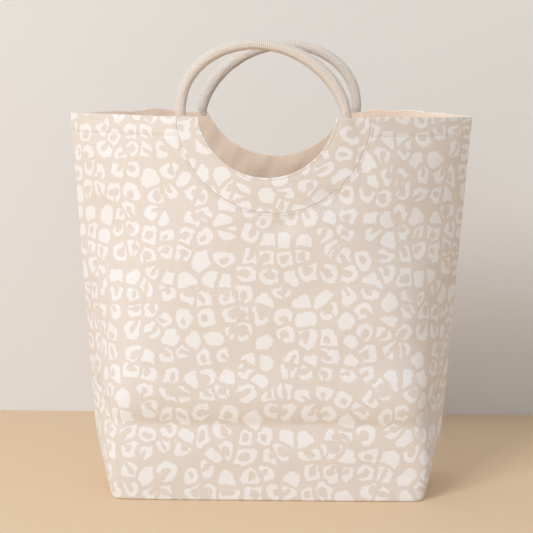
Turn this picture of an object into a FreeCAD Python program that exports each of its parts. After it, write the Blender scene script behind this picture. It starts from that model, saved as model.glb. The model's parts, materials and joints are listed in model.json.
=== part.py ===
"""Fabric storage bin: a tote-shaped cloth bin with two sewn-in rope handles.

Frame: millimetres, +Z up, +X along the length of the base, front wall at -Y.
The origin is the middle of the base, on the surface that the bin stands on.

The front and back halves are the same shape, turned half a turn about Z. Each half is a
sandwich of three cloth layers: canvas outside, interlining, lining inside. A half is worked
out as a family of nested solids, each one a constant distance inside the next, and each layer
is the space between two of them.
"""
import FreeCAD, Part
import math
import os

Vector = FreeCAD.Vector

# Bin body
height = 351.0              # top edge above the floor
base_length = 290.0         # along X
base_depth = 144.0          # along Y
mouth_length = 376.0        # side seam to side seam at the top edge
mouth_depth = 150.0         # front to back in the middle of the top edge
crease_height = base_depth / 2   # fold line left by storing the bin flat
crease_length = 332.0       # side seam to side seam at the fold line
mouth_skew = 4.5            # the front edge sits this far towards -X, the back towards +X

# Cross-section: each quarter is a rational curve round one corner point
corner_pull = 9.0           # extra pull towards the corner at the base, none at the top
corner_fade = 3             # power of the height with which that pull fades
corner_retreat = 0.39       # how far the corner point draws in towards the middle at the top
retreat_power = 0.8
floor_pinch = 2.0           # how far the front of the wall draws in at the floor
pinch_power = 2.5           # how quickly the wall draws in below the fold line

# Cloth layers, from outside to inside
canvas = 0.8
interlining = 1.2
lining = 0.5
ply_gap = 0.3
seam_gap = 1.0              # between the front and back canvas, filled by the seam thread

# Hand hole and yoke, as circles seen from the front
hole_radius = {"front": 63.0, "back": 73.0}
hole_rise = {"front": 9.0, "back": 31.0}     # circle centre above the top edge
hole_x = -4.0
yoke_radius = 88.0
yoke_x = 2.5
yoke_rise = 2.0
yoke_seam_gap = 0.3

# Stitching
thread = 0.4
topstitch_offset = 2.4      # from a seam or an edge to its row of stitches
hem_depth = 17.0            # top edge to the hem stitching
seam_thread_depth = 0.2     # from the outer face of the canvas to the seam thread

# Rope handles
rope_diameter = 10.5
core_diameter = 7.8
sleeve_bore = 8.4
rope_half_span = 74.5       # middle of the arch to the centre of each leg
rope_rise = 65.0            # top edge to the rope's centre at the top of the arch
rope_lean = 8.0             # the top of the front arch leans this far towards -X
rope_x = -7.0               # middle of the front arch
rope_y = -64.3              # plane of the front arch: the middle of the cloth where its legs are
rope_clearance = 0.6        # top edge to the underside of the rope's rounded end
tail_width = 10.0
tail_length = 25.0
tail_gap = 0.4

curve_points = 25           # points that carry each quarter of a cross-section
wall_levels = 13
level_crowding = 1.6        # power that draws the levels together near the floor
wall_start = 30.0           # the yokes and the stitching all lie above this height
overlap = 6.0               # how far a cutting solid runs past what it cuts
wide = 600.0                # larger than the bin in every direction


# ---------------------------------------------------------------- wall shape

def base_pinch(z):
    """1 at the floor, falling to 0 at the fold line."""
    return max(0.0, 1 - z / crease_height) ** pinch_power


def half_length(z):
    slope = (mouth_length - crease_length) / 2 / (height - crease_height)
    straight = mouth_length / 2 - slope * (height - z)
    floor_excess = mouth_length / 2 - slope * height - base_length / 2
    return straight - floor_excess * base_pinch(z)


def half_depth(z):
    lower = base_depth / 2 + floor_pinch
    return lower + (mouth_depth / 2 - lower) * z / height - floor_pinch * base_pinch(z)


def quarter_point(t, z):
    """Point and direction of the front-right quarter section, from seam (t=0) to middle."""
    rise = min(z / height, 1.0)
    weight = 1 + corner_pull * (1 - rise) ** corner_fade
    seam_x = half_length(z)
    corner_x = seam_x * (1 - corner_retreat * rise ** retreat_power)
    front_y = -half_depth(z)
    b0, b1, b2 = (1 - t) ** 2, 2 * weight * t * (1 - t), t ** 2
    d0, d1, d2 = -2 * (1 - t), 2 * weight * (1 - 2 * t), 2 * t
    total, total_rate = b0 + b1 + b2, d0 + d1 + d2
    x = (b0 * seam_x + b1 * corner_x) / total
    y = (b1 + b2) * front_y / total
    x_rate = (d0 * seam_x + d1 * corner_x - x * total_rate) / total
    y_rate = ((d1 + d2) * front_y - y * total_rate) / total
    return x, y, x_rate, y_rate


def section_points(z, inset):
    """Front half section from the left side seam to the right one, moved inwards by inset."""
    quarter = []
    for step in range(curve_points + 1):
        x, y, x_rate, y_rate = quarter_point(step / curve_points, z)
        length = math.hypot(x_rate, y_rate)
        quarter.append((x + inset * y_rate / length, y - inset * x_rate / length))
    left = [(-x, y) for x, y in quarter]
    skew = mouth_skew * min(z / height, 1.0) / half_depth(z)
    outline = left + quarter[-2::-1]
    return [Vector(x + skew * y, y, z) for x, y in outline]


def section_wire(z, inset):
    points = section_points(z, inset)
    count = len(points) - 1
    curve = Part.BSplineCurve()
    curve.interpolate(Points=points, Parameters=[step / count for step in range(count + 1)])
    left_back = Vector(points[0].x, overlap, z)
    right_back = Vector(points[-1].x, overlap, z)
    edges = [curve.toShape(), Part.makeLine(points[-1], right_back),
             Part.makeLine(right_back, left_back), Part.makeLine(left_back, points[0])]
    return Part.Wire(edges)


def levels():
    """Heights of the cross-sections, closer together near the floor."""
    top = height + overlap
    return [top * (step / wall_levels) ** level_crowding for step in range(wall_levels + 1)]


def block(low, high):
    size = [b - a for a, b in zip(low, high)]
    return Part.makeBox(*size, Vector(*low))


nested = {}


def nested_half(inset):
    """Solid front half of the bin, its surface moved inwards by inset."""
    if inset not in nested:
        nested[inset] = Part.makeLoft([section_wire(z, inset) for z in levels()], True, False)
    return nested[inset]


def layer(outer, inner):
    """Closed cloth layer of the front half, floor included, between two insets."""
    outside = nested_half(outer).common(block((-wide, -wide, max(outer, 0)), (wide, 0, height)))
    inside = nested_half(inner).common(block((-wide, -wide, inner), (wide, wide, height + overlap)))
    return outside.cut(inside)


def front_of(y):
    """Everything on the front side of a plane at y."""
    return block((-wide, -wide, -wide), (wide, y, wide))


def drum(radius, x, rise):
    """Cylinder along Y with its centre at a height above the top edge."""
    return Part.makeCylinder(radius, wide / 2, Vector(x, -wide / 2, height + rise), Vector(0, 1, 0))


def hole_drum(side, extra=0.0):
    return drum(hole_radius[side] + extra, hole_x, hole_rise[side])


def yoke_drum(extra=0.0):
    return drum(yoke_radius + extra, yoke_x, yoke_rise)


def wall_only():
    return block((-wide, -wide, wall_start), (wide, 0, height))


# ---------------------------------------------------------------- cloth pieces

canvas_in = canvas
interlining_out = canvas_in + ply_gap
interlining_in = interlining_out + interlining
lining_out = interlining_in + ply_gap
lining_in = lining_out + lining
thread_out = -ply_gap - thread


def canvas_shell():
    return layer(0.0, canvas_in).common(front_of(-seam_gap / 2))


def panel(shell):
    return shell.cut(yoke_drum(yoke_seam_gap / 2))


def yoke(side, shell):
    return shell.common(wall_only()).common(yoke_drum(-yoke_seam_gap / 2)).cut(hole_drum(side))


def tail_block(sign, extra=0.0):
    middle = rope_x + sign * rope_half_span
    reach = tail_width / 2 + extra
    return block((middle - reach, -wide, height - tail_length - extra), (middle + reach, 0, height))


def interlining_piece(side, shell):
    piece = shell.cut(hole_drum(side))
    for sign in (-1, 1):
        piece = piece.cut(tail_block(sign, tail_gap))
    return piece


def tails(shell):
    return Part.makeCompound([shell.common(tail_block(sign)) for sign in (-1, 1)])


def lining_piece(side):
    return layer(lining_out, lining_in).common(front_of(-ply_gap / 2)).cut(hole_drum(side))


# ---------------------------------------------------------------- stitching

def ring(radius, x, rise):
    return drum(radius + thread / 2, x, rise).cut(drum(radius - thread / 2, x, rise))


def yoke_topstitch(shell):
    return shell.common(ring(yoke_radius + topstitch_offset, yoke_x, yoke_rise))


def hole_stitch(side, shell):
    radius = hole_radius[side] + topstitch_offset
    return shell.common(ring(radius, hole_x, hole_rise[side]))


def hem_stitch(shell):
    low = height - hem_depth - thread / 2
    band = block((-wide, -wide, low), (wide, 0, low + thread))
    kept = yoke_radius + topstitch_offset + 2 * thread
    return shell.common(band).cut(drum(kept, yoke_x, yoke_rise))


def seam_threads(shell):
    """Thread in the gap between the front and back canvas: up both sides and across the base."""
    strip = shell.common(block((-wide, -thread / 2, -wide), (wide, 0, wide)))
    strip = strip.fuse(turned(strip)).removeSplitter()
    base_top = 2 * canvas
    base = strip.common(block((-wide, -wide, -wide), (wide, wide, base_top)))
    sides = strip.common(block((-wide, -wide, base_top + ply_gap), (wide, wide, height)))
    return sides, base


# ---------------------------------------------------------------- rope handles

def arch_outline():
    """Corner points of the straight runs that frame the arch, from leg to leg."""
    corners = 4
    step = math.pi / corners
    reach = 1 / math.cos(step / 2)
    turns = [(0.0, 1.0)] + [((k + 0.5) * step, reach) for k in range(corners)] + [(math.pi, 1.0)]
    points = []
    for angle, out in turns:
        across = -rope_half_span * math.cos(angle) - rope_lean * math.sin(angle)
        points.append(Vector(rope_x + out * across, rope_y, height + out * rope_rise * math.sin(angle)))
    axis_height = height + rope_clearance + rope_diameter / 2
    points[0].z = axis_height
    points[-1].z = axis_height
    return points


def rounded_path(points):
    """Straight runs and the tangent arcs between them, each arc as large as its runs allow."""
    parts = []
    start = points[0]
    last = len(points) - 2
    for index in range(1, len(points) - 1):
        before, corner, after = points[index - 1:index + 2]
        back = (before - corner).normalize()
        ahead = (after - corner).normalize()
        turn = math.pi - back.getAngle(ahead)
        room_before = (corner - before).Length * (1.0 if index == 1 else 0.5)
        room_after = (after - corner).Length * (1.0 if index == last else 0.5)
        reach = min(room_before, room_after)
        radius = reach / math.tan(turn / 2)
        arc_start = corner + back * reach
        arc_end = corner + ahead * reach
        middle = (back + ahead).normalize()
        centre = corner + middle * (radius / math.cos(turn / 2))
        if (arc_start - start).Length > 0.01:
            parts.append(("run", start, arc_start))
        parts.append(("arc", arc_start, arc_end, centre, math.degrees(turn)))
        start = arc_end
    if (points[-1] - start).Length > 0.01:
        parts.append(("run", start, points[-1]))
    return parts


def rope_solid(diameter):
    """Round bar along the arch, with a ball at each end."""
    radius = diameter / 2
    points = arch_outline()
    solids = [Part.makeSphere(radius, points[0]), Part.makeSphere(radius, points[-1])]
    for part in rounded_path(points):
        start, end = part[1], part[2]
        if part[0] == "run":
            solids.append(Part.makeCylinder(radius, (end - start).Length, start, end - start))
            continue
        centre, turn = part[3], part[4]
        axis = (start - centre).cross(end - centre)
        disc = Part.Face(Part.Wire(Part.makeCircle(radius, start, (start - centre).cross(axis))))
        solids.append(disc.revolve(centre, axis, turn))
    return solids[0].multiFuse(solids[1:]).removeSplitter()


def handle():
    core = rope_solid(core_diameter)
    sleeve = rope_solid(rope_diameter).cut(rope_solid(sleeve_bore))
    return sleeve, core


# ---------------------------------------------------------------- assembly

def turned(shape):
    """The shape turned half a turn about Z, from the front half to the back half."""
    copy = shape.copy()
    copy.rotate(Vector(0, 0, 0), Vector(0, 0, 1), 180)
    return copy


def build():
    outer = canvas_shell()
    middle = layer(interlining_out, interlining_in).common(front_of(-ply_gap / 2))
    thread_skin = layer(thread_out, -ply_gap).common(wall_only())
    sleeve, core = handle()
    pieces = {}
    for side in ("front", "back"):
        half = {
            "panel": panel(outer),
            "yoke": yoke(side, outer),
            "interlining": interlining_piece(side, middle),
            "lining": lining_piece(side),
            "handle_tails": tails(middle),
            "handle_core": core,
            "handle_sleeve": sleeve,
            "yoke_topstitch": yoke_topstitch(thread_skin),
            "hand_hole_stitch": hole_stitch(side, thread_skin),
            "hem_stitch": hem_stitch(thread_skin),
        }
        for name, shape in half.items():
            pieces[side + "_" + name] = shape if side == "front" else turned(shape)
    sides, base = seam_threads(layer(seam_thread_depth, seam_thread_depth + thread))
    pieces["side_seam_threads"] = sides
    pieces["base_seam_thread"] = base
    return pieces


def main():
    os.makedirs("parts", exist_ok=True)
    for name, shape in build().items():
        solids = shape.Solids
        bounds = shape.BoundBox
        print(f"{name:24s} solids {len(solids)} valid {shape.isValid()} volume {shape.Volume:9.1f}"
              f" z {bounds.ZMin:7.2f} {bounds.ZMax:7.2f}")
        shape.exportStep(f"parts/{name}.step")


main()
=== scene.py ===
"""Fabric storage bin: its cloth, stitching and rope handles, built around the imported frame.

Metres, +Z up, the front wall at -Y, the origin in the middle of the base. Each half of the bin
is cut from flat cloth. A place on it is (u, v): u is the distance along the wall from its
middle, v the distance up from the fold at the base, and a depth is measured into the wall from
the outer face of the canvas. The back half is the front half turned half a turn about Z.
"""
import json
import math
import random

import bmesh
import bpy
import numpy as np
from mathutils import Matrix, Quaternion, Vector
from mathutils.geometry import delaunay_2d_cdt
from mathutils.kdtree import KDTree


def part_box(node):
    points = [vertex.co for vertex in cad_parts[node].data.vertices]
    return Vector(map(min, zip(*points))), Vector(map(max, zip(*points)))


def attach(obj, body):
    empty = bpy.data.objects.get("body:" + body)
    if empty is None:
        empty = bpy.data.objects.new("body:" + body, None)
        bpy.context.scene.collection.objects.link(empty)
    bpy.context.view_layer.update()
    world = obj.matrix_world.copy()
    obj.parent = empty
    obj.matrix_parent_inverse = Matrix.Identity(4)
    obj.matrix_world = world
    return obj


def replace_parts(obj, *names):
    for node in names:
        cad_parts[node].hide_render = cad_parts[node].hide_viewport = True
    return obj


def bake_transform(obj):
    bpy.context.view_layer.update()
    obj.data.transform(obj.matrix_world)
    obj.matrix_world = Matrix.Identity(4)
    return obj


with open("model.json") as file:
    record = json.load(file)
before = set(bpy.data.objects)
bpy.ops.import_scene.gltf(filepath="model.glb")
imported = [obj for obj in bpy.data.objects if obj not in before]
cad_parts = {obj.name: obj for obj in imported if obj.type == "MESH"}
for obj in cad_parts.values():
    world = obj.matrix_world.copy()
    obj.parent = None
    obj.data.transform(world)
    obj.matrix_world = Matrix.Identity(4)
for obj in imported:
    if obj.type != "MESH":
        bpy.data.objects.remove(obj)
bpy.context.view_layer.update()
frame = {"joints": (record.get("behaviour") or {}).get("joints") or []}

mm = 0.001
HALVES = ("front", "back")

# ------------------------------------------------------------------ sizes of the bin
seam_gap = 1.0 * mm
panel_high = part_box("front_panel")[1]
height = panel_high.z
mouth_half = panel_high.x + seam_gap / 2
mouth_half_depth = 75 * mm
base_half = 145 * mm
base_half_depth = 72 * mm
crease_height = base_half_depth
crease_half = 166 * mm
mouth_skew = 4.5 * mm           # sideways shift of the walls at the mouth, in opposite ways
floor_pinch = 2 * mm            # the wall is this much less deep at the floor
pinch_power = 2.5               # how fast the narrowing at the floor fades upwards
corner_pull = 9.0               # how square the corners are at the floor
corner_fade = 3                 # how fast they round off upwards
corner_retreat = 0.39           # share of the half length by which they move in at the mouth
retreat_power = 0.8

# Circles cut in the front view: (x, height of the centre above the top edge, radius)
hole_circle = {"front": (-4 * mm, 9 * mm, 63 * mm), "back": (-4 * mm, 31 * mm, 73 * mm)}
yoke_circle = (2.5 * mm, 2 * mm, 88 * mm)

# Cloth
least_fold = 1.8 * mm           # radius of the canvas where it folds under at the base
fold_clearance = 0.3 * mm       # from the inner face of a ply to the centre of its fold
edge_gap = 0.04 * mm            # from the plane of a seam to the edge of a ply
edge_width = 0.35 * mm          # over which the two faces of a ply close into its edge
edge_tolerance = 0.005 * mm     # the faces meet where they are nearer to the edge than this


class Ply:
    """A layer of the wall, between two depths, and how it folds under at the base."""

    def __init__(self, outer, inner):
        self.outer = outer
        self.inner = inner
        self.middle = (outer + inner) / 2
        self.thickness = inner - outer
        self.fold = max(least_fold, inner + fold_clearance)  # depth of the centre of the fold
        self.fold_run = self.fold * math.pi / 2              # flat length of the fold
        self.top = self.flat_height(height)

    def flat_height(self, z):
        return z - self.fold + self.fold_run


canvas = Ply(0.0, 1.3 * mm)
interlining = Ply(1.4 * mm, 2.0 * mm)
lining = Ply(2.1 * mm, 2.9 * mm)

# Stitching
stitch_length = 2.5 * mm
stitch_step = 3.1 * mm
thread_radius = 0.19 * mm
topstitch_offset = 2.4 * mm
hem_depth = 17 * mm

# Rope handles
rope_x = -7 * mm
rope_y = frame["joints"][0]["pos_m"][1]
rope_half_span = 74.5 * mm
rope_rise = 65 * mm
rope_lean = 8 * mm
tail_width = 10 * mm
tail_length = 25 * mm


# ------------------------------------------------------------------ shape of the wall

def smooth(value):
    """0 below 0, 1 above 1 and a smooth step between."""
    value = np.clip(value, 0, 1)
    return value * value * (3 - 2 * value)


def hump(value):
    """A bell: 1 at 0, close to 0 past 2."""
    return np.exp(-np.square(value))


def base_pinch(z):
    return np.clip(1 - z / crease_height, 0, None) ** pinch_power


def half_length(z):
    slope = (mouth_half - crease_half) / (height - crease_height)
    floor_excess = mouth_half - slope * height - base_half
    return mouth_half - slope * (height - z) - floor_excess * base_pinch(z)


def half_depth(z):
    lower = base_half_depth + floor_pinch
    return lower + (mouth_half_depth - lower) * z / height - floor_pinch * base_pinch(z)


def skew_at(z):
    """Sideways shift of the wall at a level, for each unit of depth."""
    return mouth_skew * z / height / half_depth(z)


def quarter_section(t, z):
    """Places and outward normals of the front right quarter, from seam (t=0) to middle (t=1)."""
    rise = z / height
    weight = 1 + corner_pull * (1 - rise) ** corner_fade
    seam_x = half_length(z)
    corner_x = seam_x * (1 - corner_retreat * rise ** retreat_power)
    front_y = -half_depth(z)
    b0, b1, b2 = (1 - t) ** 2, 2 * weight * t * (1 - t), t ** 2
    d0, d1, d2 = -2 * (1 - t), 2 * weight * (1 - 2 * t), 2 * t
    total, total_rate = b0 + b1 + b2, d0 + d1 + d2
    x = (b0 * seam_x + b1 * corner_x) / total
    y = (b1 + b2) * front_y / total
    x_rate = d0 * seam_x + d1 * corner_x - x * total_rate
    y_rate = (d1 + d2) * front_y - y * total_rate
    rate = np.hypot(x_rate, y_rate)
    return x, y, -y_rate / rate, x_rate / rate


levels = np.linspace(0, height, 160)
fractions = np.linspace(0, 1, 601)


def section_table():
    """Girth of each level, and the curve parameter at even fractions of it from the middle."""
    t = np.linspace(1, 0, 1201)
    x, y, _, _ = quarter_section(t[None], levels[:, None])
    along = np.cumsum(np.hypot(np.diff(x), np.diff(y)), axis=1)
    along = np.hstack([np.zeros((len(levels), 1)), along])
    table = [np.interp(fractions, row / row[-1], t) for row in along]
    return along[:, -1], np.array(table)


girths, parameters = section_table()


def half_girth(z):
    """Distance along the wall from its middle to the side seam."""
    return np.interp(z, levels, girths)


def parameter_at(fraction, z):
    row = np.clip(z / height, 0, 1) * (len(levels) - 1)
    column = np.clip(fraction, 0, 1) * (len(fractions) - 1)
    low_row = np.minimum(row.astype(int), len(levels) - 2)
    low_column = np.minimum(column.astype(int), len(fractions) - 2)
    up, across = row - low_row, column - low_column

    def on_row(index):
        return parameters[index, low_column] * (1 - across) + parameters[index, low_column + 1] * across
    return on_row(low_row) * (1 - up) + on_row(low_row + 1) * up


def seam_slant(z):
    """Sine and cosine of the angle at which the wall meets the plane of the side seams."""
    _, _, out_x, out_y = quarter_section(np.zeros_like(z), z)
    return out_x, -out_y


def seam_u(z, depth):
    """Where a ply at this depth ends at the side seam."""
    sine, cosine = seam_slant(z)
    return half_girth(z) - (edge_gap + depth * cosine) / sine


# ------------------------------------------------------------------ creases, folds and puckers

wave_count = 7
wave_level = 3                  # brings the sum of the waves to between about -1 and 1


def waves(u, v, size, seed):
    """Smooth random height between about -1 and 1 that changes over a distance of size."""
    draw = random.Random(seed)
    total = 0.0
    for _ in range(wave_count):
        heading = draw.uniform(0, 2 * math.pi)
        pace = 2 * math.pi / (size * draw.uniform(0.8, 1.7))
        start = draw.uniform(0, 6.3)
        along = u * math.cos(heading) + v * math.sin(heading)
        total = total + np.sin(pace * along + start)
    return total / wave_level


# Humps of the top edge: (x in the half's own front view, half width, height)
rim_humps = {
    "front": [
        (-150 * mm, 22 * mm, 0.6 * mm),
        (120 * mm, 24 * mm, 0.7 * mm)],
    "back": [
        (111 * mm, 17 * mm, 3.6 * mm),
        (150 * mm, 14 * mm, 1.4 * mm),
        (-104 * mm, 17 * mm, 4.4 * mm),
        (-134 * mm, 15 * mm, 4.2 * mm),
        (-162 * mm, 13 * mm, 2.2 * mm)],
}
rim_fade = 12                   # how fast the humps fade below the top edge
# Dents: (x, height, half width, half height, depth)
dents = {
    "front": [
        (58 * mm, 277 * mm, 20 * mm, 9 * mm, 3.0 * mm),
        (12 * mm, 256 * mm, 17 * mm, 8 * mm, 2.6 * mm),
        (84 * mm, 312 * mm, 7 * mm, 20 * mm, 1.2 * mm),
        (150 * mm, 96 * mm, 16 * mm, 22 * mm, 2.6 * mm),
        (-152 * mm, 98 * mm, 15 * mm, 20 * mm, 1.6 * mm),
        (30 * mm, 190 * mm, 42 * mm, 34 * mm, 1.2 * mm),
        (-60 * mm, 150 * mm, 40 * mm, 45 * mm, 0.9 * mm)],
    "back": [
        (-50 * mm, 262 * mm, 22 * mm, 10 * mm, 1.6 * mm),
        (150 * mm, 96 * mm, 16 * mm, 22 * mm, 2.0 * mm),
        (-150 * mm, 98 * mm, 15 * mm, 20 * mm, 2.2 * mm),
        (-20 * mm, 170 * mm, 45 * mm, 40 * mm, 1.2 * mm)],
}
# The crease that flat storage leaves
gusset_start = 140 * mm         # from the middle of the wall to where the crease begins to climb
gusset_run = 55 * mm            # flat distance over which it climbs
crease_climb = 24 * mm
crease_wander = 1.2 * mm
valley_depth = 4.4 * mm
valley_round = 0.9 * mm         # how rounded the bottom of the valley is
valley_above = 8 * mm           # how far the valley reaches above its line
valley_below = 26 * mm          # and below it
swelling_height = 2.4 * mm
swelling_middle = 26 * mm       # above the line of the crease
swelling_half = 20 * mm
# Unevenness of the whole wall
sag_height = 0.9 * mm
sag_size = 85 * mm
ripple_height = 0.22 * mm
ripple_size = 30 * mm
seam_calm = 24 * mm             # the wall is plain at the side seams and uneven from here
floor_calm = 26 * mm            # the same above the floor
# The swelling over the sewn-in end of a rope
bulge_height = 1.3 * mm
bulge_half = 7 * mm
bulge_fade = 24 * mm            # flat distance over which it grows from nothing, upwards
bulge_reach = 26 * mm           # how far below the top edge it begins
# Loose folds of the lining
fold_size = 16 * mm
gather_size = 75 * mm           # distance over which the folds come and go
least_loose = 0.5 * mm
most_loose = 2.2 * mm           # more than the least, where the lining is loosest
loose_from = 200 * mm           # height above the floor at which it begins to loosen
loose_over = 100 * mm
held_by_hole = 7 * mm           # how far the edge of the hand hole holds it flat
held_by_top = 9 * mm            # the same for the top edge
held_by_floor = 30 * mm         # the same for the floor
# Rows of stitches
groove_depth = 0.3 * mm
groove_half = 0.8 * mm
hem_step = 0.25 * mm
hem_step_run = 1.2 * mm
seeds = {"front": 11, "back": 47}


def from_circle(x, z, circle):
    """Distance outside a circle of the front view, and the distance round it."""
    centre_x, rise, radius = circle
    side, up = x - centre_x, z - height - rise
    return np.hypot(side, up) - radius, np.arctan2(side, -up) * radius


def crease(half, u, z):
    """The fold that flat storage leaves: a valley, higher over the gussets, and a swelling above."""
    on_gusset = smooth((np.abs(u) - gusset_start) / gusset_run)
    wander = crease_wander * waves(u, 0 * u, 90 * mm, seeds[half] + 1)
    away = z - (crease_height + crease_climb * on_gusset + wander)
    reach = np.where(away > 0, valley_above, valley_below)
    valley = -valley_depth * np.exp(-np.hypot(away, valley_round) / reach)
    swelling = swelling_height * hump((away - swelling_middle) / swelling_half) * (1 - 0.5 * on_gusset)
    return valley + swelling


def puckers(x, z, circle, seed, strength, reach):
    """Small gathers that run out from a curved seam."""
    away, along = from_circle(x, z, circle)
    return strength * waves(along, 0 * along, 9 * mm, seed) * np.exp(-np.abs(away) / reach)


def relief(half, u, x, z, depth):
    """How far the cloth stands out from the plain wall, outwards."""
    seed = seeds[half]
    out = crease(half, u, z)
    out = out + sag_height * waves(u, z, sag_size, seed + 2)
    out = out + ripple_height * waves(u, z, ripple_size, seed + 3)
    for dent_x, dent_z, wide, tall, deep in dents[half]:
        out = out - deep * hump((x - dent_x) / wide) * hump((z - dent_z) / tall)
    out = out + puckers(x, z, yoke_circle, seed + 4, strength=0.16 * mm, reach=6 * mm)
    out = out + puckers(x, z, hole_circle[half], seed + 5, strength=0.2 * mm, reach=4 * mm)
    to_seam = half_girth(z) - np.abs(u)
    out = out * smooth(to_seam / seam_calm) * smooth(z / floor_calm)
    near_top = smooth((z - height + bulge_reach) / bulge_fade)
    for sign in (-1, 1):
        leg = hump((x - rope_x - sign * rope_half_span) / bulge_half) * near_top
        out = out + bulge_height * leg * (1 - depth / interlining.middle)
    return out


def stitch_dimples(half, x, z):
    """Grooves that the rows of stitches pull into the canvas, and the step of the hem."""
    yoke_away = from_circle(x, z, yoke_circle)[0]
    rows = [yoke_away - topstitch_offset, from_circle(x, z, hole_circle[half])[0] - topstitch_offset]
    out = sum(-groove_depth * hump(row / groove_half) for row in rows)
    above_hem = z - height + hem_depth
    hem = hump(above_hem / groove_half) * (yoke_away > topstitch_offset)
    return out - groove_depth * hem + hem_step * smooth(above_hem / hem_step_run) * (yoke_away > 0)


def lining_wrinkles(half, u, x, z):
    """Loose folds of the lining, which hang down from the top edge; always inwards."""
    seed = seeds[half] + 6
    folds = 0.5 + 0.5 * waves(u + 0.3 * z, 0.4 * z, fold_size, seed)
    gathered = 0.5 + 0.5 * waves(u, z, gather_size, seed + 1)
    high = smooth((z - loose_from) / loose_over)
    from_hole = 1 - np.exp(-np.abs(from_circle(x, z, hole_circle[half])[0]) / held_by_hole)
    loose = least_loose + most_loose * high * from_hole * np.clip(gathered, 0.15, 1)
    loose = loose * np.clip(folds, 0, 1.3)
    return -loose * smooth((height - z) / held_by_top) * smooth(z / held_by_floor)


def rim_lift(half, x, z):
    lift = sum(tall * hump((x - place_x) / wide) for place_x, wide, tall in rim_humps[half])
    return lift * np.clip(z / height, 0, 1) ** rim_fade


def place(u, v, depth, half, ply):
    """Points of space at flat places of a half's ply, at a depth into the wall."""
    u, v = np.asarray(u, float), np.asarray(v, float)
    turn = np.clip(v / ply.fold_run, 0, 1) * math.pi / 2
    above = np.clip(v - ply.fold_run, 0, None)
    inset = ply.fold - (ply.fold - depth) * np.sin(turn)
    z = ply.fold - (ply.fold - depth) * np.cos(turn) + above
    level = np.clip(ply.fold * (1 - np.cos(turn)) + above, 0, height)
    t = parameter_at(np.abs(u) / half_girth(level), level)
    x, y, out_x, out_y = quarter_section(t, level)
    side = np.where(u < 0, -1.0, 1.0)
    skew = skew_at(level)
    plain_x = side * x + skew * y
    out = relief(half, u, plain_x, level, depth) - inset
    if ply is canvas:
        out = out + stitch_dimples(half, plain_x, level)
    if ply is lining:
        out = out + lining_wrinkles(half, u, plain_x, level)
    y = y + out * out_y
    x = side * (x + out * out_x) + skew * y
    z = z + rim_lift(half, plain_x, level)
    if half == "back":
        x, y = -x, -y
    return np.stack(np.broadcast_arrays(x, y, z), axis=-1)


# ------------------------------------------------------------------ outlines on the flat cloth

edge_step = 1.2 * mm


def run(start, end, step=edge_step):
    """Points from start up to, but without, end."""
    start, end = np.array(start, float), np.array(end, float)
    count = max(1, math.ceil(np.linalg.norm(end - start) / step))
    return start + (end - start) * (np.arange(count) / count)[:, None]


def side_run(ply, low, high, sign):
    """Points along the side seam edge of a ply, from low towards high, which may be below it."""
    v = run((0, low), (0, high))[:, 1]
    z = np.clip(v - ply.fold_run + ply.fold, 0, height)
    return np.stack([sign * seam_u(z, ply.middle), v], axis=1)


def flat_u(x, z):
    """The flat place of points that are at x and z in the front view."""
    found = []
    for px, pz in zip(x, z):
        girth = half_girth(pz)
        u = np.linspace(-girth, girth, 801)
        t = parameter_at(np.abs(u) / girth, np.full_like(u, pz))
        sx, sy, _, _ = quarter_section(t, np.full_like(u, pz))
        seen = np.where(u < 0, -1.0, 1.0) * sx + skew_at(pz) * sy
        found.append(np.interp(px, seen, u))
    return np.array(found)


def circle_run(circle, grow, ply, top=height, step=edge_step):
    """Points along the part of a circle below a height, from its left end to its right end."""
    centre_x, rise, radius = circle
    radius = radius + grow
    reach = math.acos((height + rise - top) / radius)
    angles = np.linspace(-reach, reach, math.ceil(2 * reach * radius / step) + 1)
    x = centre_x + radius * np.sin(angles)
    z = height + rise - radius * np.cos(angles)
    return np.stack([flat_u(x, z), ply.flat_height(z)], axis=1)


def wall_outline(ply, cut, top_gap=0.0):
    """Outline of a ply up to a gap below the top edge, less what a curve cuts out of its top."""
    top = ply.top - top_gap
    corner = seam_u(np.array(height - top_gap), ply.middle)
    foot = seam_u(np.array(0.0), ply.middle)
    cut = cut[::-1]
    return np.vstack([
        run((-foot, 0), (foot, 0)), side_run(ply, 0, top, 1),
        run((corner, top), cut[0]), cut[:-1], run(cut[-1], (-corner, top)),
        side_run(ply, top, 0, -1)])


def whole_outline(half, ply, hole_grow, top_gap):
    """Outline of a ply that covers a whole half, with the hand hole cut out."""
    return wall_outline(ply, circle_run(hole_circle[half], hole_grow, ply, height - top_gap), top_gap)


def panel_outline():
    return wall_outline(canvas, circle_run(yoke_circle, edge_gap, canvas))


def yoke_outline(half):
    seam = circle_run(yoke_circle, -edge_gap, canvas)
    hole = circle_run(hole_circle[half], 0, canvas)[::-1]
    return np.vstack([seam[:-1], run(seam[-1], hole[0]), hole[:-1], run(hole[-1], seam[0])])


def tail_outline(sign):
    """Outline of the flattened end of a rope, which is sewn in between the plies."""
    middle = flat_u([rope_x + sign * rope_half_span], [height])[0]
    left, right = middle - tail_width / 2, middle + tail_width / 2
    low, high = interlining.top - tail_length, interlining.top - 1 * mm
    corners = [(left, low), (right, low), (right, high), (left, high)]
    return np.vstack([run(corners[k], corners[(k + 1) % 4]) for k in range(4)])


# ------------------------------------------------------------------ making meshes

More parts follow.
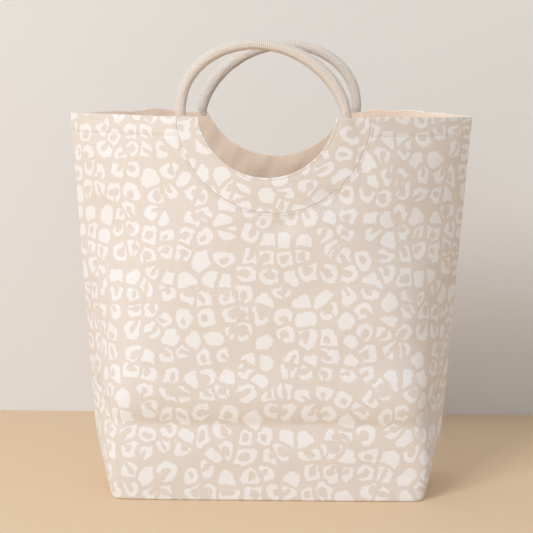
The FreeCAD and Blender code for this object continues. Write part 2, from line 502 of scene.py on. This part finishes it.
def new_object(name, points, faces, body, material, uv=None):
    """A smooth piece that rides on a body. uv holds a flat place for each corner of each face."""
    mesh = bpy.data.meshes.new(name)
    mesh.from_pydata(points, [], faces)
    if uv is not None:
        mesh.uv_layers.new(name="flat").data.foreach_set("uv", np.asarray(uv, np.float32).ravel())
    mesh.polygons.foreach_set("use_smooth", [True] * len(mesh.polygons))
    mesh.materials.append(material)
    piece = bpy.data.objects.new(name, mesh)
    bpy.context.scene.collection.objects.link(piece)
    if body:
        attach(piece, body)
    return piece


def weld(piece, distance=0.002 * mm):
    """Joins the coinciding points of a piece."""
    shape = bmesh.new()
    shape.from_mesh(piece.data)
    bmesh.ops.remove_doubles(shape, verts=shape.verts, dist=distance)
    shape.to_mesh(piece.data)
    shape.free()


def tree_of(points):
    tree = KDTree(len(points))
    for index, (u, v) in enumerate(points):
        tree.insert((u, v, 0), index)
    tree.balance()
    return tree


def refined(points, step):
    """A closed outline with its points at most step apart."""
    ahead = np.roll(points, -1, axis=0)
    return np.vstack([run(a, b, step) for a, b in zip(points, ahead)])


def distances(points, tree):
    return np.array([tree.find((u, v, 0))[2] for u, v in points])


def inward_rings(outline, offsets):
    """Copies of an outline, each moved inwards by an offset."""
    ahead = np.roll(outline, -1, axis=0) - np.roll(outline, 1, axis=0)
    ahead = ahead / np.linalg.norm(ahead, axis=1)[:, None]
    inward = np.stack([-ahead[:, 1], ahead[:, 0]], axis=1)
    return [outline + inward * offset for offset in offsets]


row_share = 0.87                # rows of the grid are this share of its spacing apart
ring_share = 0.85               # a ring's point is dropped nearer to the edge than this share of its offset
grid_share = 0.62               # a grid point is dropped nearer to others than this share of its spacing
line_clearance = 1.2 * mm       # a line's point is dropped nearer to the edge than this


def grid_over(outline, spacing):
    """Staggered grid of points over the box of an outline."""
    low, high = outline.min(axis=0), outline.max(axis=0)
    points = []
    for row, v in enumerate(np.arange(low[1], high[1], spacing * row_share)):
        u = np.arange(low[0], high[0], spacing) + spacing / 2 * (row % 2)
        points.append(np.stack([u, np.full_like(u, v)], axis=1))
    return np.vstack(points)


def filled(outline, spacing, offsets, lines=()):
    """Triangles over an outline: rings along its edge, points along lines, and a grid."""
    border = refined(outline, 0.3 * mm)
    border_tree = tree_of(border)
    kept = [outline]
    for ring, offset in zip(inward_rings(outline, offsets), offsets):
        kept.append(ring[distances(ring, border_tree) > ring_share * offset])
    for line in lines:
        kept.append(line[distances(line, border_tree) > line_clearance])
    fine_tree = tree_of(np.vstack(kept))
    grid = grid_over(outline, spacing)
    kept.append(grid[distances(grid, fine_tree) > grid_share * spacing])
    points = np.vstack(kept)
    count = len(outline)
    edges = [(index, (index + 1) % count) for index in range(count)]
    made = delaunay_2d_cdt([Vector(p) for p in points], edges, [list(range(count))], 1, 1e-7)
    used, triangles = np.unique(np.array(made[2]), return_inverse=True)
    return np.array([tuple(p) for p in made[0]])[used], triangles.reshape(-1, 3)


def rolled(edge_distance, ply):
    """Depths of the two faces of a ply, which meet in a round edge."""
    left = 1 - np.clip((edge_distance - edge_tolerance) / edge_width, 0, 1)
    roll = ply.thickness / 2 * (1 - np.sqrt(1 - left ** 2))
    return ply.outer + roll, ply.inner - roll


def base_half_of(half, outline, ply, spacing, offsets):
    """Points, faces and flat places of a ply's half of the base, which its wall folds into."""
    foot = outline[outline[:, 1] < 1e-6]
    front = place(foot[:, 0], foot[:, 1], ply.middle, "front", ply)[:, :2]
    closing = run(front[-1], front[0])[1:]
    flat, triangles = filled(np.vstack([front, closing]), spacing, offsets)
    turned = -1 if half == "back" else 1
    points, faces = [], []
    for depths, order in zip(rolled(-edge_gap - flat[:, 1], ply), (-1, 1)):
        faces.append(triangles[:, ::order] + len(flat) * len(points))
        points.append(np.stack([turned * flat[:, 0], turned * flat[:, 1], depths], axis=1))
    place_flat = np.stack([flat[:, 0], -base_half_depth - flat[:, 1]], axis=1)
    return np.vstack(points), np.vstack(faces), np.vstack([place_flat, place_flat])


def cloth(name, half, outline, ply, material, spacing, lines=(), has_base=True, shift=(0, 0)):
    """A ply with its thickness, and with its half of the base where it has one."""
    offsets = edge_width * np.array([0.1, 0.4, 1.0, 3.2])
    if has_base:
        limit = seam_u(np.array(0.0), ply.inner) - 2 * mm
        rows = ply.fold_run * np.array([0.25, 0.5, 0.75, 1.0, 1.4])
        lines = list(lines) + [run((-limit, v), (limit, v), 2.5 * mm) for v in rows]
    flat, triangles = filled(outline, spacing, offsets, lines)
    border = refined(outline, 0.2 * mm)
    if has_base:
        foot = outline[outline[:, 1] < 1e-6]
        border = np.vstack([border[border[:, 1] > 1e-6], foot[[0, -1]]])
    to_edge = distances(flat, tree_of(border))
    if has_base:
        on_foot = flat[:, 1] < 1e-6
        fold = place(flat[on_foot, 0], flat[on_foot, 1], ply.middle, "front", ply)
        to_edge[on_foot] = -edge_gap - fold[:, 1]
    points = np.vstack([place(flat[:, 0], flat[:, 1], depth, half, ply) for depth in rolled(to_edge, ply)])
    faces = np.vstack([triangles, triangles[:, ::-1] + len(flat)])
    flats = np.vstack([flat, flat])
    if has_base:
        base_points, base_faces, base_flat = base_half_of(half, outline, ply, spacing, offsets)
        faces = np.vstack([faces, base_faces + len(points)])
        points = np.vstack([points, base_points])
        flats = np.vstack([flats, base_flat])
    uv = (flats + np.array(shift))[faces.ravel()]
    piece = new_object(name, points, faces.tolist(), "root", material, uv)
    weld(piece)
    return piece


# ------------------------------------------------------------------ stitching

def along_path(path, step):
    """Even distances along a path, and a function that gives the flat place at a distance."""
    reach = np.concatenate([[0], np.cumsum(np.linalg.norm(np.diff(path, axis=0), axis=1))])
    count = max(1, int(reach[-1] / step))

    def at(distance):
        return np.interp(distance, reach, path[:, 0]), np.interp(distance, reach, path[:, 1])
    return (np.arange(count) + 0.5) * reach[-1] / count, at


def stitch_rings(path, half, proud, sunk):
    """Centres and outward directions of the five rings of each stitch along a path."""
    middles, at = along_path(path, stitch_step)
    offsets = stitch_length * np.array([-0.5, -0.36, 0.0, 0.36, 0.5])
    depths = np.array([sunk, -0.6 * proud, -proud, -0.6 * proud, sunk])
    distance = middles[:, None] + offsets[None]
    u, v = at(distance)
    centres = place(u, v, np.broadcast_to(depths, u.shape), half, canvas)
    outward = place(u, v, -1 * mm, half, canvas) - place(u, v, 0.0, half, canvas)
    return centres, outward / np.linalg.norm(outward, axis=-1, keepdims=True)


def beads(name, centres, outward):
    """Thread beads, each of five six-sided rings about its centres."""
    sides = 6
    angles = np.arange(sides) / sides * 2 * math.pi
    thickness = thread_radius * np.array([0.55, 1.0, 1.0, 1.0, 0.55])
    ahead = np.gradient(centres, axis=1)
    ahead = ahead / np.linalg.norm(ahead, axis=-1, keepdims=True)
    across = np.cross(outward, ahead)
    spokes = outward[..., None, :] * np.cos(angles)[:, None] + across[..., None, :] * np.sin(angles)[:, None]
    points = centres[..., None, :] + thickness[:, None, None] * spokes
    faces = []
    for start in range(0, len(centres) * 5 * sides, 5 * sides):
        for ring in range(4):
            low = start + ring * sides
            for k in range(sides):
                following = (k + 1) % sides
                faces.append([low + k, low + sides + k, low + sides + following, low + following])
        faces.append([start + k for k in range(sides)])
        faces.append([start + 4 * sides + k for k in range(sides)][::-1])
    return new_object(name, points.reshape(-1, 3), faces, "root", thread_material)


def stitches(name, half, paths, proud=0.16 * mm, sunk=0.25 * mm):
    """Rows of thread stitches on the canvas."""
    rings = [stitch_rings(path, half, proud, sunk) for path in paths]
    return beads(name, np.vstack([row[0] for row in rings]), np.vstack([row[1] for row in rings]))


def cross_stitches(name, starts, ends, outward):
    """Short stitches that cross a seam from start to end."""
    shares = np.array([0.0, 0.15, 0.5, 0.85, 1.0])[None, :, None]
    centres = starts[:, None] + (ends - starts)[:, None] * shares
    return beads(name, centres, np.broadcast_to(np.asarray(outward, float), centres.shape))


seam_reach = 0.75 * mm
seam_thread_depth = 0.2 * mm


def side_seam_threads():
    z = np.arange(4 * mm, height - 4 * mm, stitch_step)
    u = seam_u(z, seam_thread_depth) - seam_reach
    v = canvas.flat_height(z)
    pieces = []
    for sign, side in ((-1, "left"), (1, "right")):
        starts = place(sign * u, v, seam_thread_depth, "front", canvas)
        ends = place(-sign * u, v, seam_thread_depth, "back", canvas)
        pieces.append(cross_stitches(side + "_side_seam_thread", starts, ends, (sign, 0, 0)))
    return pieces


def base_seam_thread():
    x = np.arange(4 * mm - base_half, base_half - 4 * mm, stitch_step)
    starts, ends = [np.stack([x, np.full_like(x, y), np.full_like(x, seam_thread_depth)], axis=1)
                    for y in (-seam_reach, seam_reach)]
    return cross_stitches("base_seam_stitches", starts, ends, (0, 0, -1))


# ------------------------------------------------------------------ rope handles

def arch(angle):
    """Centre of the front rope at an angle from its left leg, in the plane of the arch."""
    x = rope_x - rope_half_span * np.cos(angle) - rope_lean * np.sin(angle)
    return x, height + rope_rise * np.sin(angle)


def rope_path(step, sink):
    """Evenly spaced centres of the rope, and the angle of each, from below the rim to below the rim."""
    angle = np.linspace(0, math.pi, 1500)
    x, z = arch(angle)
    x = np.concatenate([[x[0]], x, [x[-1]]])
    z = np.concatenate([[z[0] - sink], z, [z[-1] - sink]])
    angle = np.concatenate([[0], angle, [math.pi]])
    reach = np.concatenate([[0], np.cumsum(np.hypot(np.diff(x), np.diff(z)))])
    even = np.linspace(0, reach[-1], math.ceil(reach[-1] / step))
    centres = np.stack([np.interp(even, reach, x), np.full_like(even, rope_y), np.interp(even, reach, z)],
                       axis=1)
    return centres, np.interp(even, reach, angle), even


def rope_radius(angle):
    """The hand-made rope is thinner at the top and thicker at its right shoulder."""
    stations = math.pi * np.array([0.0, 0.18, 0.32, 0.5, 0.62, 0.74, 0.85, 1.0])
    radii = mm * np.array([4.7, 5.0, 5.1, 4.6, 4.9, 5.8, 5.8, 4.7])
    near = np.linspace(-0.15, 0.15, 7)[:, None]
    return np.interp(angle[None] + near, stations, radii).mean(axis=0)


def tube(name, half, centres, radii, flatten, material, relief_at=None):
    """A closed tube about a path in the plane of the arch."""
    ahead = np.gradient(centres, axis=0)
    ahead = ahead / np.linalg.norm(ahead, axis=1)[:, None]
    outward = np.stack([-ahead[:, 2], 0 * ahead[:, 0], ahead[:, 0]], axis=1)
    count, sides = radii.shape
    angles = np.arange(sides) / sides * 2 * math.pi
    ring_out = np.cos(angles)[None, :, None] * outward[:, None, :]
    ring_side = np.sin(angles)[None, :, None] * np.array([0.0, 1.0, 0.0]) * flatten[:, None, None]
    points = centres[:, None, :] + radii[:, :, None] * (ring_out + ring_side)
    points = points.reshape(-1, 3)
    row, column = np.meshgrid(np.arange(count - 1), np.arange(sides), indexing="ij")
    following = (column + 1) % sides
    quads = np.stack([row * sides + column, (row + 1) * sides + column,
                      (row + 1) * sides + following, row * sides + following], axis=-1).reshape(-1, 4)
    faces = quads.tolist()
    points = np.vstack([points, centres[:1], centres[-1:]])
    last = (count - 1) * sides
    for k in range(sides):
        following = (k + 1) % sides
        faces.append([k, following, count * sides])
        faces.append([last + following, last + k, count * sides + 1])
    if half == "back":
        points = points * np.array([-1, -1, 1])
    piece = new_object(name, points, faces, None, material)
    if relief_at is not None:
        values = np.concatenate([relief_at.ravel(), [0, 0]]).astype(np.float32)
        piece.data.attributes.new("strand", "FLOAT", "POINT").data.foreach_set("value", values)
    return piece


def leg_flatness(centres):
    """1 along the rope, falling towards its ends, where it is pressed flat into the top seam."""
    above = centres[:, 2] - height
    return 0.5 + 0.5 * smooth((above + 3 * mm) / (9 * mm))


# The knit of the sleeve
rib_pitch = 1.7 * mm
wales = 16                      # columns of stitches round the rope
rib_relief = 0.6 * mm
rib_level = 0.7                 # of the relief's height, where the sleeve has its plain radius
uneven_relief = 0.12 * mm
uneven_size = 14 * mm


def sleeve(half):
    """The woven sleeve: ribs round the rope, each drawn into a row of small slanted stitches."""
    sides = 72
    centres, angle, along = rope_path(0.33 * mm, 3 * mm)
    around = np.arange(sides) / sides * 2 * math.pi
    turn = wales * around[None] / (2 * math.pi)
    zigzag = np.abs((turn % 1.0) - 0.5)
    phase = along[:, None] / rib_pitch + 0.9 * zigzag + 0.35 * around[None] / math.pi
    ribs = np.abs(np.sin(math.pi * phase))
    columns = np.abs(np.sin(math.pi * turn))
    height_map = 0.72 * ribs ** 0.8 + 0.28 * columns ** 0.7
    uneven = waves(0.02 * around[None], along[:, None], uneven_size, seeds[half] + 8)
    radii = rope_radius(angle)[:, None] + uneven_relief * uneven + rib_relief * (height_map - rib_level)
    piece = tube(half + "_handle_rope", half, centres, radii, leg_flatness(centres), rope_material,
                 height_map)
    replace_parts(piece, half + "_handle_sleeve")
    return bend_with_handle(piece)


def core(half):
    centres, angle, along = rope_path(3 * mm, 1 * mm)
    around = np.arange(20) / 20 * 2 * math.pi
    strands = np.abs(np.sin(1.5 * around[None] + along[:, None] / (9 * mm)))
    radii = rope_radius(angle)[:, None] - 1.3 * mm + 0.3 * mm * strands
    piece = tube(half + "_handle_filler", half, centres, radii, leg_flatness(centres), core_material)
    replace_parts(piece, half + "_handle_core")
    return bend_with_handle(piece)


def bend_with_handle(piece):
    """Bakes the rope's placement into its mesh; the rope is not made to turn with the handle."""
    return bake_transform(piece)


# ------------------------------------------------------------------ materials

class Wire:
    """A value in a material's nodes that takes part in arithmetic."""

    def __init__(self, paint, socket):
        self.paint = paint
        self.socket = socket

    def maths(self, operation, *others):
        return self.paint.maths(operation, self, *others)

    def __add__(self, other):
        return self.maths("ADD", other)

    def __sub__(self, other):
        return self.maths("SUBTRACT", other)

    def __rsub__(self, other):
        return self.paint.maths("SUBTRACT", other, self)

    def __mul__(self, other):
        return self.maths("MULTIPLY", other)

    def __gt__(self, other):
        return self.maths("GREATER_THAN", other)

    def __lt__(self, other):
        return self.maths("LESS_THAN", other)

    __radd__ = __add__
    __rmul__ = __mul__


class Paint:
    """A material and the nodes that feed its one surface shader."""

    def __init__(self, name):
        self.material = bpy.data.materials.new(name + "_finish")
        self.material["slot"] = name
        self.material.use_nodes = True
        self.tree = self.material.node_tree
        self.surface = self.tree.nodes["Principled BSDF"]

    def node(self, kind, settings, inputs, output=0):
        """Adds a node: its settings first, then the values or links of its sockets."""
        made = self.tree.nodes.new("ShaderNode" + kind)
        for name, value in settings.items():
            setattr(made, name, value)
        for key, value in inputs.items():
            self.feed(made.inputs[key], value)
        return Wire(self, made.outputs[output])

    def feed(self, socket, value):
        if isinstance(value, Wire):
            self.tree.links.new(value.socket, socket)
        else:
            socket.default_value = value

    def maths(self, operation, *values):
        return self.node("Math", {"operation": operation}, dict(enumerate(values)))

    def vector(self, operation, *values):
        return self.node("VectorMath", {"operation": operation}, dict(enumerate(values)))

    def scaled(self, vector, factor):
        return self.node("VectorMath", {"operation": "SCALE"}, {0: vector, "Scale": factor})

    def mix(self, factor, first, second):
        return self.node("Mix", {"data_type": "RGBA"}, {0: factor, 6: first, 7: second}, 2)

    def parts(self, vector):
        split = self.node("SeparateXYZ", {}, {0: vector})
        return [Wire(self, output) for output in split.socket.node.outputs]

    def band(self, value, low, high, start=0.0, end=1.0):
        """Smoothly from start to end as value goes from low to high."""
        return self.node("MapRange", {"interpolation_type": "SMOOTHSTEP"},
                         {0: value, 1: low, 2: high, 3: start, 4: end})

    def noise(self, where, scale, detail=2.0, output=0):
        return self.node("TexNoise", {}, {"Vector": where, "Scale": scale, "Detail": detail}, output)

    def finish(self, relief, strength, distance, **sockets):
        """Sets the shader's sockets, with the relief as a bump, and returns the material."""
        bump = self.node("Bump", {}, {"Strength": strength, "Distance": distance, "Height": relief})
        self.feed(self.surface.inputs["Normal"], bump)
        for name, value in sockets.items():
            self.feed(self.surface.inputs[name.replace("_", " ")], value)
        return self.material


def weave(paint, flat, pitch):
    """Height of a plain weave and the uneven thickness of its threads, both from 0 to 1."""
    u, v, _ = paint.parts(paint.scaled(flat, math.pi / pitch))
    over = (u.maths("SINE") * v.maths("SINE")).maths("ABSOLUTE")
    warp = paint.noise(paint.vector("MULTIPLY", flat, (1 / (0.7 * mm), 1 / (26 * mm), 1)), 1.0, 1.0)
    weft = paint.noise(paint.vector("MULTIPLY", flat, (1 / (26 * mm), 1 / (0.7 * mm), 1)), 1.0, 1.0)
    return over, (warp + weft) * 0.5


motif_pitch = 18.2 * mm


def spots(paint, flat):
    """Mask of the print: blots, rings, open rings and pairs of strokes that fill uneven cells."""
    where = paint.scaled(flat, 1 / motif_pitch)
    slow = paint.vector("SUBTRACT", paint.noise(where, 1.5, 0.0, 1), (0.5, 0.5, 0.5))
    quick = paint.vector("SUBTRACT", paint.noise(where, 4.5, 1.0, 1), (0.5, 0.5, 0.5))
    moved = paint.vector("ADD", where, paint.scaled(slow, 0.4))
    moved = paint.vector("ADD", moved, paint.scaled(quick, 0.19))
    moved = paint.vector("MULTIPLY", moved, (1, 1, 0))
    cells = {"Vector": moved, "Scale": 1.0, "Randomness": 0.68}
    nearest = paint.node("TexVoronoi", {"voronoi_dimensions": "2D", "feature": "F1"}, cells)
    outputs = nearest.socket.node.outputs
    turn, kind, size = paint.parts(Wire(paint, outputs["Color"]))
    edge = paint.node("TexVoronoi", {"voronoi_dimensions": "2D", "feature": "DISTANCE_TO_EDGE"}, cells)
    local = paint.vector("SUBTRACT", moved, Wire(paint, outputs["Position"]))
    local = paint.node("VectorRotate", {"rotation_type": "Z_AXIS"}, {"Vector": local, "Angle": turn * 6.28})
    along, across, _ = paint.parts(local)
    across = across.maths("ABSOLUTE")
    other = (size * 7.31).maths("FRACT")
    is_blot, is_ring, is_pair = kind < 0.2, (kind > 0.2) * (kind < 0.4), kind > 0.86
    wide = across * (0.85 + 0.3 * other)
    length = (along * along + wide * wide).maths("SQRT")
    outside = (length - (0.41 + 0.13 * size)).maths("SMOOTH_MAX", 0.115 - edge, 0.09)
    ahead, beside = along - 0.06, across * (0.75 + 0.9 * other)
    hole = 0.185 + 0.08 * size - (ahead * ahead + beside * beside).maths("SQRT")
    opening = (0.065 + 0.075 * other - across).maths("MINIMUM", along)
    slit = 0.055 + 0.03 * other - across
    open_ring = hole.maths("SMOOTH_MAX", opening, 0.06)
    pair = hole.maths("SMOOTH_MAX", slit, 0.05)
    gap = is_ring * hole + is_pair * pair + (1 - is_ring) * (1 - is_pair) * open_ring
    gap = gap * (1 - is_blot) - is_blot
    return paint.band(outside.maths("SMOOTH_MAX", gap, 0.05), -0.02, 0.025, 1.0, 0.0)


def printed_canvas():
    paint = Paint("printed_canvas")
    flat = paint.node("UVMap", {}, {})
    over, slubs = weave(paint, flat, 0.62 * mm)
    ink = spots(paint, flat)
    worn = paint.noise(flat, 700.0, 2.0)
    cover = ink * paint.band(worn + 0.25 * slubs, 0.25, 0.62, 0.82, 1.0)
    ground = paint.mix(paint.band(slubs, 0.36, 0.64), (0.725, 0.66, 0.60, 1), (0.77, 0.705, 0.645, 1))
    colour = paint.mix(cover, ground, (0.86, 0.85, 0.845, 1))
    height_map = 0.5 * over + 0.5 * slubs + 0.22 * ink
    return paint.finish(height_map, 0.35, 0.25 * mm, Base_Color=colour,
                        Roughness=0.9 - 0.12 * ink, Sheen_Weight=0.15, Sheen_Roughness=0.6)


def plain_cotton(name, dark, light, pitch):
    paint = Paint(name)
    flat = paint.node("UVMap", {}, {})
    over, slubs = weave(paint, flat, pitch)
    colour = paint.mix(paint.band(slubs, 0.33, 0.67), dark, light)
    return paint.finish(0.5 * over + 0.5 * slubs, 0.35, 0.2 * mm, Base_Color=colour,
                        Roughness=0.92, Sheen_Weight=0.2, Sheen_Roughness=0.6)


def fibre_material(name, valley, crest, relief_scale, uses_strand=False):
    """Twisted or felted fibre: fine noise over two colours, both the fibre's uneven tone and painted shade:
    valley is the shaded colour, laid where the bump is low, between the strands.
    """
    paint = Paint(name)
    where = paint.node("TexCoord", {}, {}, 3)
    fuzz = paint.noise(where, relief_scale, 3.0)
    shade = paint.band(fuzz, 0.3, 0.7)
    if uses_strand:
        # Painted shade: the rope is darkened in the valleys between its ribs, taken from their relief
        # heights.
        strand = paint.node("Attribute", {"attribute_name": "strand"}, {}, 2)
        shade = 0.75 * paint.band(strand, 0.25, 0.75) + 0.25 * shade
    colour = paint.mix(shade, valley, crest)
    return paint.finish(fuzz, 0.4, 0.15 * mm, Base_Color=colour, Roughness=0.92, Sheen_Weight=0.25)


canvas_material = printed_canvas()
lining_material = plain_cotton("lining", (0.85, 0.68, 0.545, 1), (0.92, 0.77, 0.635, 1), 0.45 * mm)
middle_material = plain_cotton("interlining", (0.72, 0.70, 0.66, 1), (0.80, 0.78, 0.74, 1), 0.8 * mm)
# The rope's valley colour is painted shade, for the hollows between its ribs.
rope_material = fibre_material("rope", (0.33, 0.26, 0.205, 1), (0.87, 0.81, 0.75, 1), 2600.0, True)
core_material = fibre_material("cord_core", (0.62, 0.56, 0.47, 1), (0.75, 0.70, 0.62, 1), 1800.0)
thread_material = fibre_material("thread", (0.60, 0.52, 0.44, 1), (0.76, 0.69, 0.61, 1), 5000.0)


# ------------------------------------------------------------------ the bin

def stitch_lines(path):
    """A path and its two sides, where the cloth needs points to follow a row of stitches."""
    return [path, beside(path, 0.9 * mm), beside(path, -0.9 * mm)]


def beside(path, offset):
    """A copy of an open path, moved to its left."""
    ahead = np.gradient(path, axis=0)
    ahead = ahead / np.linalg.norm(ahead, axis=1)[:, None]
    return path + offset * np.stack([-ahead[:, 1], ahead[:, 0]], axis=1)


def hem_path(sign):
    """The hem's row of stitches, from the yoke's stitches to the side seam."""
    z = height - hem_depth
    centre_x, rise, radius = yoke_circle
    reach = math.sqrt((radius + topstitch_offset + 1.2 * mm) ** 2 - (hem_depth + rise) ** 2)
    start = flat_u([centre_x + sign * reach], [z])[0]
    end = sign * (seam_u(np.array(z), canvas.inner) - 1.5 * mm)
    return run((start, canvas.flat_height(z)), (end, canvas.flat_height(z)))


def polygon_area(points):
    ahead = np.roll(points, -1, axis=0)
    return abs(np.sum(points[:, 0] * ahead[:, 1] - ahead[:, 0] * points[:, 1])) / 2


def declare_sheet(outline, has_base=True):
    """Works out how large the flat cloth of a piece was cut, and its area; nothing uses these."""
    width, length = outline.max(axis=0) - outline.min(axis=0)
    area = polygon_area(outline)
    if has_base:
        length = length + base_half_depth
        area = area + 2 * base_half * base_half_depth


# Distances between the points of each cloth's grid
panel_grid = 2.9 * mm
yoke_grid = 1.9 * mm
interlining_grid = 7 * mm
tail_grid = 2 * mm
# How far the inner plies stay clear of the hand hole and of the top edge
interlining_clear = (3 * mm, 27 * mm)
lining_clear = (0.4 * mm, 0.3 * mm)


def build_half(half):
    shift = print_shift[half]
    yoke_row = circle_run(yoke_circle, topstitch_offset, canvas, height - 1 * mm)
    hole_row = circle_run(hole_circle[half], topstitch_offset, canvas, height - 1 * mm)
    hem_rows = [hem_path(sign) for sign in (-1, 1)]
    panel_lines = [line for row in [yoke_row, *hem_rows] for line in stitch_lines(row)]
    paths = {"yoke_topstitch": [yoke_row], "hand_hole_stitch": [hole_row], "hem_stitch": hem_rows}
    threads = {name: stitches(f"{half}_{name}_thread", half, rows) for name, rows in paths.items()}
    for name, piece in threads.items():
        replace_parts(piece, f"{half}_{name}")
    outline = panel_outline()
    panel = cloth(half + "_panel_cloth", half, outline, canvas, canvas_material, panel_grid,
                  panel_lines, shift=shift)
    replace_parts(panel, half + "_panel")
    declare_sheet(outline)
    outline = yoke_outline(half)
    yoke = cloth(half + "_yoke_cloth", half, outline, canvas, canvas_material, yoke_grid,
                 stitch_lines(hole_row), has_base=False, shift=yoke_shift[half])
    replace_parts(yoke, half + "_yoke")
    declare_sheet(outline, has_base=False)
    outline = whole_outline(half, interlining, *interlining_clear)
    middle = cloth(half + "_interlining_cloth", half, outline, interlining, middle_material,
                   interlining_grid)
    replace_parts(middle, half + "_interlining")
    declare_sheet(outline)
    outline = whole_outline(half, lining, *lining_clear)
    inside = cloth(half + "_lining_cloth", half, outline, lining, lining_material, panel_grid,
                   shift=shift)
    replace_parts(inside, half + "_lining")
    declare_sheet(outline)
    tails = [cloth(f"{half}_handle_{side}_tail", half, tail_outline(sign), interlining, rope_material,
                   tail_grid, has_base=False) for sign, side in ((-1, "left"), (1, "right"))]
    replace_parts(tails[0], half + "_handle_tails")
    sleeve(half)
    core(half)


# Where on the printed cloth each panel and each yoke was cut
print_shift = {"front": (0.061, 0.034), "back": (0.517, 0.288)}
yoke_shift = {"front": (0.300, -0.079), "back": (0.756, 0.175)}
for half in HALVES:
    build_half(half)
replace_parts(side_seam_threads()[0], "side_seam_threads")
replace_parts(base_seam_thread(), "base_seam_thread")


# ------------------------------------------------------------------ floor, light and camera

def plain_material(name, colour, one_sided=False):
    """A smooth surface. One that is one-sided doesn't hide what is in front of it from behind."""
    paint = Paint(name)
    where = paint.node("TexCoord", {}, {}, 3)
    mottle = paint.noise(where, 3.0, 3.0)
    darker = [0.95 * part for part in colour[:3]] + [1]
    if one_sided:
        paint.feed(paint.surface.inputs["Alpha"], 1 - paint.node("NewGeometry", {}, {}, "Backfacing"))
    return paint.finish(mottle, 0.05, 0.2 * mm, Base_Color=paint.mix(mottle, darker, colour), Roughness=0.7)


def add_board(name, corners, material):
    mesh = bpy.data.meshes.new(name)
    mesh.from_pydata(corners, [], [(0, 1, 2, 3)])
    mesh.materials.append(material)
    board = bpy.data.objects.new(name, mesh)
    bpy.context.scene.collection.objects.link(board)


wall_distance = 0.35
stage_half = 3.0


def add_stage():
    """A pale floor that meets a pale wall behind the bin."""
    far, wide = wall_distance, stage_half
    add_board("floor", [(-wide, -wide, 0), (wide, -wide, 0), (wide, far, 0), (-wide, far, 0)],
              plain_material("floor", (0.80, 0.60, 0.405, 1)))
    add_board("wall", [(-wide, far, 0), (wide, far, 0), (wide, far, wide), (-wide, far, wide)],
              plain_material("wall", (0.79, 0.78, 0.76, 1), one_sided=True))


def add_area_light(name, place_at, target, size, power, colour):
    lamp = bpy.data.lights.new(name, "AREA")
    lamp.shape = "RECTANGLE"
    lamp.size = size[0]
    lamp.size_y = size[1]
    lamp.energy = power
    lamp.color = colour
    light = bpy.data.objects.new(name, lamp)
    light.location = place_at
    light.rotation_euler = (Vector(target) - Vector(place_at)).to_track_quat("-Z", "Y").to_euler()
    bpy.context.scene.collection.objects.link(light)


sky_colour = (0.965, 0.975, 1.0, 1)
sky_strength = 0.56
window_place = (-1.75, -2.7, 2.2)
window_target = (0, 0, 0.2)
window_size = (1.5, 1.4)
window_power = 80
window_colour = (0.965, 0.98, 1.0)


def add_lights():
    world = bpy.data.worlds.new("room")
    world.use_nodes = True
    sky = world.node_tree.nodes["Background"].inputs
    sky["Color"].default_value = sky_colour
    sky["Strength"].default_value = sky_strength
    bpy.context.scene.world = world
    add_area_light("window", window_place, window_target, window_size, window_power, window_colour)


sensor_width = 36               # the camera's own unit is the millimetre of its sensor
focal_length = 128.3
eye = (-3.3 * mm, -1.778, 0.4155)
look_down = math.radians(6.65)
roll = math.radians(-0.54)


def add_camera():
    """The eye is level with the tops of the ropes and looks slightly down."""
    data = bpy.data.cameras.new("camera")
    data.sensor_width = sensor_width
    data.lens = focal_length
    camera = bpy.data.objects.new("camera", data)
    camera.location = eye
    ahead = Vector((0, math.cos(look_down), -math.sin(look_down)))
    camera.rotation_mode = "QUATERNION"
    camera.rotation_quaternion = Quaternion(ahead, roll) @ ahead.to_track_quat("-Z", "Y")
    bpy.context.scene.collection.objects.link(camera)
    bpy.context.scene.camera = camera


add_stage()
add_lights()
add_camera()
bpy.context.scene.view_settings.view_transform = "Standard"
